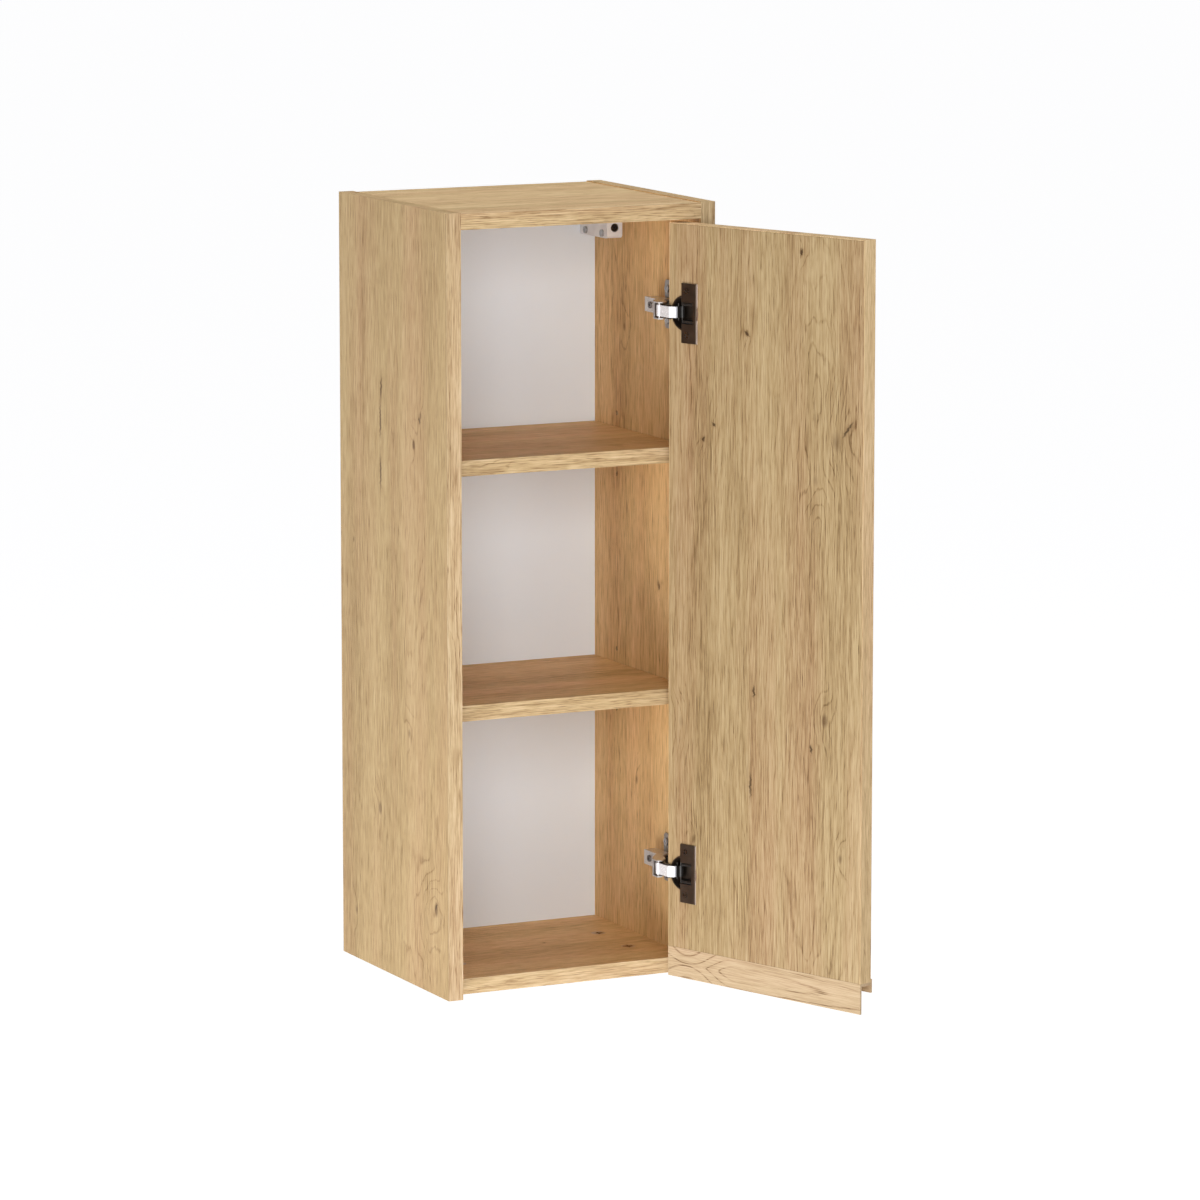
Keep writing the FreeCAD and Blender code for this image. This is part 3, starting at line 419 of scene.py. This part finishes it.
def ring_lines(graph, rings, swirl, layers):
    """Thin dark ring lines, broken by the fibres, that show in patches and round the knots."""
    phase = graph.math("PINGPONG", graph.math("MULTIPLY", rings, RINGS_PER_METRE), 0.5)
    lines = graph.math("MULTIPLY", graph.fit(phase, 0.0, 0.13, 1, 0, smooth=True),
                       graph.fit(layers["fibres"], 0.40, 0.60, 0.25, 1))
    shown = graph.math("ADD", graph.fit(layers["patches"], 0.48, 0.68, 0.0, 0.9), swirl, clamp=True)
    return graph.math("MULTIPLY", lines, shown)


def print_tone(graph, rings, lines, pores, layers, figure, grain):
    """How light the print is: about 0 in the darkest marks and 1 in the palest wood."""
    bands = graph.line_noise(rings, scale=BANDS_PER_METRE, detail=3, roughness=0.6)
    tone = total(graph, [centred(graph, bands, BANDS_SHARE * figure),
                         centred(graph, layers["broad"], BROAD_SHARE),
                         centred(graph, layers["streaks"], STREAKS_SHARE * grain),
                         centred(graph, layers["fibres"], FIBRES_SHARE * grain)])
    tone = graph.math("ADD", tone, TONE_MIDDLE)
    tone = graph.math("SUBTRACT", tone, graph.math("MULTIPLY", pores, PORES_SHARE * grain))
    return graph.math("SUBTRACT", tone, graph.math("MULTIPLY", lines, LINES_SHARE * figure))


def with_knots(graph, colour, place, knots, layers):
    """Dark hearts, broken by the fibres."""
    heart = round_knots(graph, place, knots, HEART_REACH, [knot.darkness for knot in knots])
    patchy = graph.math("MULTIPLY", graph.fit(heart, 0.06, 0.40, 0, 1),
                        graph.fit(layers["fibres"], 0.35, 0.6, 0.45, 0.95))
    return graph.mix(graph.math("MINIMUM", patchy, 0.9), colour, KNOT_BROWN)


def with_cracks(graph, colour, depth, place, cracks, layers):
    """Dark wandering splits with a softer rim. They are cut into the depth as well."""
    wander = centred(graph, graph.line_noise(graph.parts(place)[2], scale=260, detail=2), CRACK_WANDER)
    wavering = graph.vector("ADD", place, graph.join(wander, 0.0, 0.0))

    def round_cracks(half_width, longer):
        return total(graph, [blob(graph, wavering, crack.place,
                                  (half_width, DECOR_DEPTH, crack.half_length * longer), crack.lean)
                             for crack in cracks])

    split = round_cracks(CRACK_HALF_WIDTH, 1)
    rim = round_cracks(RIM_HALF_WIDTH, RIM_LENGTH)
    colour = graph.mix(graph.math("MULTIPLY", rim, 0.35, clamp=True), colour, CRACK_RIM)
    marks = graph.math("MULTIPLY", graph.fit(split, 0.15, 0.7),
                       graph.fit(layers["ripple"], 0.30, 0.48, 0.4, 1))
    colour = graph.mix(graph.math("MULTIPLY", marks, 0.85), colour, CRACK_BROWN)
    return colour, graph.math("SUBTRACT", depth, graph.math("MULTIPLY", marks, 1.5))


def oak(name, order, shift, pith, tilt, of_door=False, knots=(), cracks=(), seams=(), inside=None,
        inside_tint=(1.20, 1.09, 0.93), tint=(1, 1, 1), figure=1.0, wave=1.0, grain=1.0):
    """Printed oak: fibres, pores and streaks, with the rings as broken lines round arches and knots.

    shift moves the noise, so that boards differ. pith is where the heart of the tree comes nearest
    the face, across and along the grain, and tilt how fast it leaves it along the grain. Faces whose
    place through the board is between the two numbers of inside get inside_tint. A seam is a dark
    line where the decor ends: (0 across, 1 through or 2 along, place). figure, wave and grain
    strengthen the rings, their wandering and the fibres."""
    material, graph = new_material(name)
    place = board_place(graph, order, of_door)
    seeded = graph.vector("ADD", place, shift)
    layers = {layer: graph.noise(graph.vector("MULTIPLY", seeded, repeats), 1.0, detail, roughness)
              for layer, (repeats, detail, roughness) in LAYERS.items()}

    rings = ring_distance(graph, place, layers, pith, tilt, wave)
    swirl = 0.0
    if knots:
        bulge = round_knots(graph, place, knots, SWIRL_REACH, [knot.size for knot in knots])
        rings = graph.math("ADD", rings, graph.math("MULTIPLY", bulge, KNOT_BEND))
        swirl = graph.math("MULTIPLY", bulge, KNOT_LINES)
    lines = ring_lines(graph, rings, swirl, layers)
    pores = graph.math("MULTIPLY", graph.fit(layers["pores"], 0.56, 0.70, 0, 1, smooth=True),
                       graph.fit(layers["patches"], 0.35, 0.6, 1.0, 0.55))
    tone = print_tone(graph, rings, lines, pores, layers, figure, grain)
    colour = graph.mix(graph.fit(layers["hue"], 0.42, 0.72, 0, 0.75),
                       graph.ramp(tone, YELLOW_OAK), graph.ramp(tone, PINK_OAK))
    depth = graph.math("ADD", graph.math("MULTIPLY", layers["fibres"], -0.6),
                       graph.math("MULTIPLY", pores, -0.8))
    if knots:
        colour = with_knots(graph, colour, place, knots, layers)
    if cracks:
        colour, depth = with_cracks(graph, colour, depth, place, cracks, layers)

    coordinates = graph.parts(place)
    if inside:
        within = graph.math("MULTIPLY", graph.math("GREATER_THAN", coordinates[1], inside[0]),
                            graph.math("LESS_THAN", coordinates[1], inside[1]))
        colour = graph.tinted(colour, graph.mix(within, WHITE, inside_tint + (1,)))
    for axis, edge in seams:
        away = graph.math("ABSOLUTE", graph.math("SUBTRACT", coordinates[axis], edge))
        line = graph.fit(away, SEAM_DARK_TO, SEAM_CLEAR_FROM, SEAM_TONE, 1, smooth=True)
        colour = graph.tinted(colour, graph.join(line, line, line))
    if tint != (1, 1, 1):
        colour = graph.tinted(colour, tint + (1,))
    graph.show(graph.principled(Base_Color=colour, Specular_IOR_Level=0.22,
                                Roughness=graph.fit(layers["fibres"], 0.3, 0.7, 0.48, 0.60),
                                Normal=graph.bump(depth, 0.00010, 0.6)))
    return material


LEFT_SIDE_KNOTS = [
    Knot(on_left_side(0.064, 0.590), 0.005, 0.5),
    Knot(on_left_side(0.081, 0.559), 0.006, 0.6),
    Knot(on_left_side(0.094, 0.260), 0.006, 0.35),
    Knot(on_left_side(0.168, 0.170), 0.008, 0.55),
    Knot(on_left_side(0.052, 0.072), 0.013, 0.12),
    Knot(on_left_side(0.030, 0.089), 0.008, 0.6),
    Knot(on_left_side(0.230, 0.051), 0.006, 0.4),
    Knot(on_left_side(0.232, 0.442), 0.004, 0.4),
]
LEFT_SIDE_CRACKS = [
    Crack(on_left_side(0.161, 0.608), 0.018, 4),
    Crack(on_left_side(0.163, 0.575), 0.030, 0),
    Crack(on_left_side(0.163, 0.520), 0.028, 0),
    Crack(on_left_side(0.066, 0.585), 0.006, -20),
    Crack(on_left_side(0.030, 0.092), 0.008, 25),
]
RIGHT_SIDE_KNOTS = [
    Knot(in_right_side(0.175, 0.655), 0.005, 0.5),
    Knot(in_right_side(0.095, 0.395), 0.005, 0.4),
    Knot(in_right_side(0.145, 0.180), 0.006, 0.4),
]
RIGHT_SIDE_CRACKS = [
    Crack(in_right_side(0.065, 0.470), 0.018, 0),
    Crack(in_right_side(0.093, 0.392), 0.006, 15),
]
DOOR_KNOTS = [
    Knot(on_door(0.228, 0.577), 0.013, 0.30),
    Knot(on_door(0.200, 0.535), 0.008, 0.25),
    Knot(on_door(0.107, 0.6755), 0.004, 0.6),
    Knot(on_door(0.180, 0.763), 0.004, 0.7),
    Knot(on_door(0.048, 0.563), 0.004, 0.45),
    Knot(on_door(0.214, 0.294), 0.008, 0.5),
    Knot(on_door(0.236, 0.156), 0.006, 0.35),
    Knot(on_door(0.036, 0.149), 0.006, 0.35),
    Knot(on_door(0.018, 0.268), 0.008, 0.2),
]
DOOR_CRACKS = [
    Crack(on_door(0.180, 0.762), 0.006, 30),
    Crack(on_door(0.107, 0.675), 0.007, -55),
    Crack(on_door(0.243, 0.590), 0.017, 38),
    Crack(on_door(0.118, 0.312), 0.010, 0),
    Crack(on_door(0.196, 0.263), 0.007, -15),
    Crack(on_door(0.114, 0.214), 0.022, 0),
    Crack(on_door(0.062, 0.579), 0.005, -60),
    Crack(on_door(0.048, 0.563), 0.005, 35),
]
HANDLE_KNOT = Knot((0.018, DOOR_INNER_FACE, DOOR_HINGE_EDGE - 0.028), 0.012, 0.06)

materials = {
    "left_side": oak("oak_left_side", UPRIGHT_SIDE, shift=(3.1, 0.4, 1.7), pith=(-0.19, 0.60), tilt=0.13,
                     knots=LEFT_SIDE_KNOTS, cracks=LEFT_SIDE_CRACKS, seams=[(0, BAND_SEAM)],
                     inside=(LEFT_INNER_FACE - SKIN, 0), tint=(0.77, 0.745, 0.69)),
    "right_side": oak("oak_right_side", UPRIGHT_SIDE, shift=(7.7, 0.9, 4.2), pith=(-0.10, 0.30), tilt=0.10,
                      knots=RIGHT_SIDE_KNOTS, cracks=RIGHT_SIDE_CRACKS, seams=[(0, BAND_SEAM)],
                      inside=(0, RIGHT_INNER_FACE + SKIN), inside_tint=(1.46, 1.36, 1.22),
                      tint=(0.82, 0.80, 0.76)),
    "level_board": oak("oak_top_and_bottom", LEVEL_BOARD, shift=(1.3, 2.2, 0.6), pith=(-0.12, -0.02),
                       tilt=0.2, seams=[(0, BAND_SEAM)],
                       inside=(BOTTOM_INNER_FACE - SKIN, TOP_INNER_FACE + SKIN)),
    "shelf": oak("oak_shelves", LEVEL_BOARD, shift=(5.1, 3.2, 2.6), pith=(-0.15, 0.05), tilt=0.2,
                 inside=(BOTTOM_INNER_FACE, TOP_INNER_FACE)),
    "door": oak("oak_door", UPRIGHT_FRONT, of_door=True, shift=(0.2, 5.4, 0.9), pith=(-0.070, 0.43),
                tilt=0.15, knots=DOOR_KNOTS, cracks=DOOR_CRACKS, seams=[(2, DOOR_FOOT), (2, DOOR_HEAD)],
                inside=(DOOR_INNER_FACE - SKIN, 0), inside_tint=(0.77, 0.765, 0.745),
                tint=(0.857, 0.857, 0.86)),
    "side_band": oak("oak_side_bands", UPRIGHT_FRONT, shift=(2.5, 0.7, 3.3), pith=(0.0, 2.0), tilt=0.01,
                     tint=(0.85, 0.87, 0.93), figure=1.4, wave=1.6),
    "level_band": oak("oak_level_bands", LEVEL_FRONT, shift=(4.5, 1.7, 0.3), pith=(0.3, 0.0), tilt=0.02,
                      tint=(0.95, 0.96, 1.01), figure=1.6, wave=1.6),
    "door_band": oak("oak_door_bands", UPRIGHT_SIDE, of_door=True, shift=(8.5, 0.3, 5.3),
                     pith=(-0.4, 0.4), tilt=0.02, tint=(0.96, 0.95, 0.97), wave=1.4),
    "handle": oak("oak_handle_foil", LEVEL_FRONT, of_door=True, shift=(6.1, 4.1, 1.1), pith=(0.016, 0.10),
                  tilt=0.05, knots=[HANDLE_KNOT], tint=(0.80, 0.81, 0.94), figure=1.7, wave=0.2,
                  grain=0.5),
}


# ---- metal, plastic, the back and the dowels ------------------------------------------------

METAL_GRAIN = 900


def metal(name, colour, roughness, grain=METAL_GRAIN, wear=0.12, depth=0.00002, metallic=1.0):
    """Cast or plated metal: grain is how many fine marks there are in a metre, depth how deep they
    are, and wear how much darker the clouded patches are."""
    material, graph = new_material(name)
    place = graph.position()
    fine = graph.noise(place, scale=grain, detail=3, roughness=0.6)
    cloud = graph.noise(place, scale=grain / 12, detail=2)
    worn = rgb(*(value * (1 - wear) for value in colour))
    tone = graph.mix(graph.fit(cloud, 0.35, 0.65), worn, rgb(*colour))
    rough = graph.math("ADD", graph.fit(fine, 0.3, 0.7, -0.05, 0.05), roughness)
    graph.show(graph.principled(Base_Color=tone, Metallic=metallic, Roughness=rough,
                                Normal=graph.bump(fine, depth, 0.6)))
    return material


def bronze_cup():
    """Dark bronzed steel whose bevelled far edge gets a painted highlight, a light colour in place of the
    light it catches.
    """
    material, graph = new_material("bronzed_steel")
    place = board_place(graph, UPRIGHT_FRONT, of_door=True)
    fine = graph.noise(place, scale=METAL_GRAIN, detail=3, roughness=0.6)
    cloud = graph.noise(place, scale=70, detail=2)
    # Painted highlight: the bevelled far edge is given a light colour that stands in for the light it
    # catches.
    bevel = graph.math("LESS_THAN", graph.parts(place)[0], CUP_FAR_BEVEL)
    dark = graph.mix(graph.fit(cloud, 0.35, 0.65), rgb(84, 72, 62), rgb(98, 86, 76))
    graph.show(graph.principled(Base_Color=graph.mix(bevel, dark, rgb(196, 178, 168)), Metallic=0.9,
                                Roughness=graph.fit(fine, 0.3, 0.7, 0.32, 0.42),
                                Normal=graph.bump(fine, 0.00002, 0.6)))
    return material


def polished_link():
    """Bright nickel, with painted shade in black where the link goes down into the cup."""
    material, graph = new_material("polished_nickel")
    place = board_place(graph, UPRIGHT_FRONT, of_door=True)
    fine = graph.noise(place, scale=METAL_GRAIN, detail=3, roughness=0.6)
    # Painted shade: below the door's inner face the link turns black, standing in for the shade inside the
    # cup.
    painted_shade_in_cup = graph.fit(graph.parts(place)[1], LINK_PAINTED_SHADE_FROM, LINK_BRIGHT_TO, 1, 0)
    tone = graph.mix(painted_shade_in_cup, rgb(240, 240, 244), rgb(44, 42, 40))
    graph.show(graph.principled(Base_Color=tone, Metallic=0.25,
                                Roughness=graph.fit(fine, 0.3, 0.7, 0.22, 0.30),
                                Normal=graph.bump(fine, 0.00001, 0.5)))
    return material


def plastic(name, colour, roughness):
    material, graph = new_material(name)
    place = graph.position()
    fine = graph.noise(place, scale=2600, detail=2)
    paler = rgb(*(value * 1.3 for value in colour))
    tone = graph.mix(graph.noise(place, scale=90, detail=2), rgb(*colour), paler)
    rough = graph.fit(fine, 0.3, 0.7, roughness - 0.06, roughness + 0.06)
    graph.show(graph.principled(Base_Color=tone, Roughness=rough, Normal=graph.bump(fine, 0.00004, 0.5)))
    return material


def hardboard():
    """White lacquer on the front, raw pressed fibre behind."""
    material, graph = new_material("hardboard_back")
    place = graph.position()
    fibre = graph.noise(graph.vector("MULTIPLY", place, (420, 420, 300)), detail=4, roughness=0.7)
    cloud = graph.noise(place, scale=9, detail=3)
    lacquer = graph.mix(graph.fit(cloud, 0.3, 0.7), rgb(234, 241, 249), rgb(238, 245, 252))
    raw = graph.mix(fibre, rgb(112, 80, 52), rgb(170, 130, 92))
    behind = graph.math("GREATER_THAN", graph.parts(place)[1], BACK_REAR_FACE - REAR_SKIN)
    graph.show(graph.principled(Base_Color=graph.mix(behind, lacquer, raw),
                                Roughness=graph.fit(fibre, 0.3, 0.7, 0.42, 0.52),
                                Normal=graph.bump(fibre, 0.00005, 0.4)))
    return material


def beech():
    material, graph = new_material("beech_dowels")
    grain = graph.noise(graph.vector("MULTIPLY", graph.position(), (60, 900, 900)), detail=3, roughness=0.6)
    tone = graph.mix(grain, rgb(190, 146, 104), rgb(226, 190, 150))
    graph.show(graph.principled(Base_Color=tone, Roughness=0.6, Normal=graph.bump(grain, 0.00006, 0.5)))
    return material


materials.update({
    "back": hardboard(),
    "beech": beech(),
    "hanger": metal("galvanised_steel", (246, 246, 248), 0.42, grain=500, wear=0.06, metallic=0.2),
    # The cam locks' warm brown is a painted reflection of the oak boards round them.
    "cam": metal("zinc_casting_painted_reflection", (206, 172, 132), 0.34),
    "zinc": metal("zinc_casting", (176, 174, 172), 0.45, grain=1400, depth=0.00005),
    "zinc_screw": metal("zinc_plated_screw", (190, 190, 192), 0.32),
    "nickel": metal("nickel_plate", (212, 208, 205), 0.30, wear=0.05, metallic=0.8),
    "bright": polished_link(),
    "dark_steel": metal("blackened_steel", (70, 66, 62), 0.34),
    "screw_steel": metal("hinge_screw_steel", (120, 114, 110), 0.26),
    "bronze": bronze_cup(),
    "black": plastic("black_damper", (26, 25, 25), 0.38),
})


# ---- which piece gets which finish ----------------------------------------------------------

SIDES = ("left", "right")
ENDS = ("top", "bottom")
LEVELS = ("upper", "lower")


def both(prefixes, *parts):
    """The names of these parts at both places."""
    return [f"{prefix}_{part}" for prefix in prefixes for part in parts]


FINISHES = {
    "left_side": ["left_side_panel"],
    "right_side": ["right_side_panel"],
    "level_board": both(ENDS, "panel"),
    "shelf": both(LEVELS, "shelf"),
    "door": ["door_panel"],
    "side_band": both(SIDES, "side_edge_band"),
    "level_band": both(ENDS, "edge_band") + both(LEVELS, "shelf_edge_band"),
    "door_band": ["door_hinge_edge_band", "door_free_edge_band", "door_top_edge_band"],
    "handle": ["handle_profile"],
    "back": ["back_panel"],
    "beech": both(ENDS, "dowels"),
    "hanger": both(SIDES, "hanger_body", "hanger_hook"),
    "cam": both(ENDS, "cam_locks"),
    "zinc": both(LEVELS, "hinge_plate"),
    "zinc_screw": both(ENDS, "cam_bolts") + both(LEVELS, "shelf_pins", "hinge_plate_screws")
                  + both(SIDES, "hanger_fixing_screws"),
    "screw_steel": both(LEVELS, "hinge_arm_screws", "hinge_cup_screws"),
    "nickel": both(LEVELS, "hinge_arm", "hinge_arm_pins"),
    "bright": both(LEVELS, "hinge_outer_link"),
    "dark_steel": both(LEVELS, "hinge_inner_link", "hinge_cup_pins")
                  + both(SIDES, "hanger_adjusting_screw"),
    "bronze": both(LEVELS, "hinge_cup"),
    "black": both(LEVELS, "hinge_damper"),
}

# Fine bevels, so that edges catch the light: their width in metres, by finish.
BEVELS = {
    "hanger": 0.0004,
    "cam": 0.0003,
    "zinc": 0.0003,
    "zinc_screw": 0.0002,
    "screw_steel": 0.0002,
    "nickel": 0.0003,
    "bright": 0.0002,
    "dark_steel": 0.00015,
    "bronze": 0.00015,
    "black": 0.0005,
    "handle": 0.0004,
}

# Edges that turn by less than this stay as they are.
BEVEL_FROM = math.radians(40)


def bevel_edges(node, width):
    bevel = node.modifiers.new("edges", "BEVEL")
    bevel.width = width
    bevel.segments = 2
    bevel.limit_method = "ANGLE"
    bevel.angle_limit = BEVEL_FROM
    bevel.harden_normals = False


for finish, names in FINISHES.items():
    for name in names:
        slots = nodes[name].data.materials
        slots.clear()
        slots.append(materials[finish])
        if finish in BEVELS:
            bevel_edges(nodes[name], BEVELS[finish])
unfinished = sorted(set(nodes) - {name for names in FINISHES.values() for name in names})
if unfinished:
    raise ValueError(f"no finish for {unfinished}")
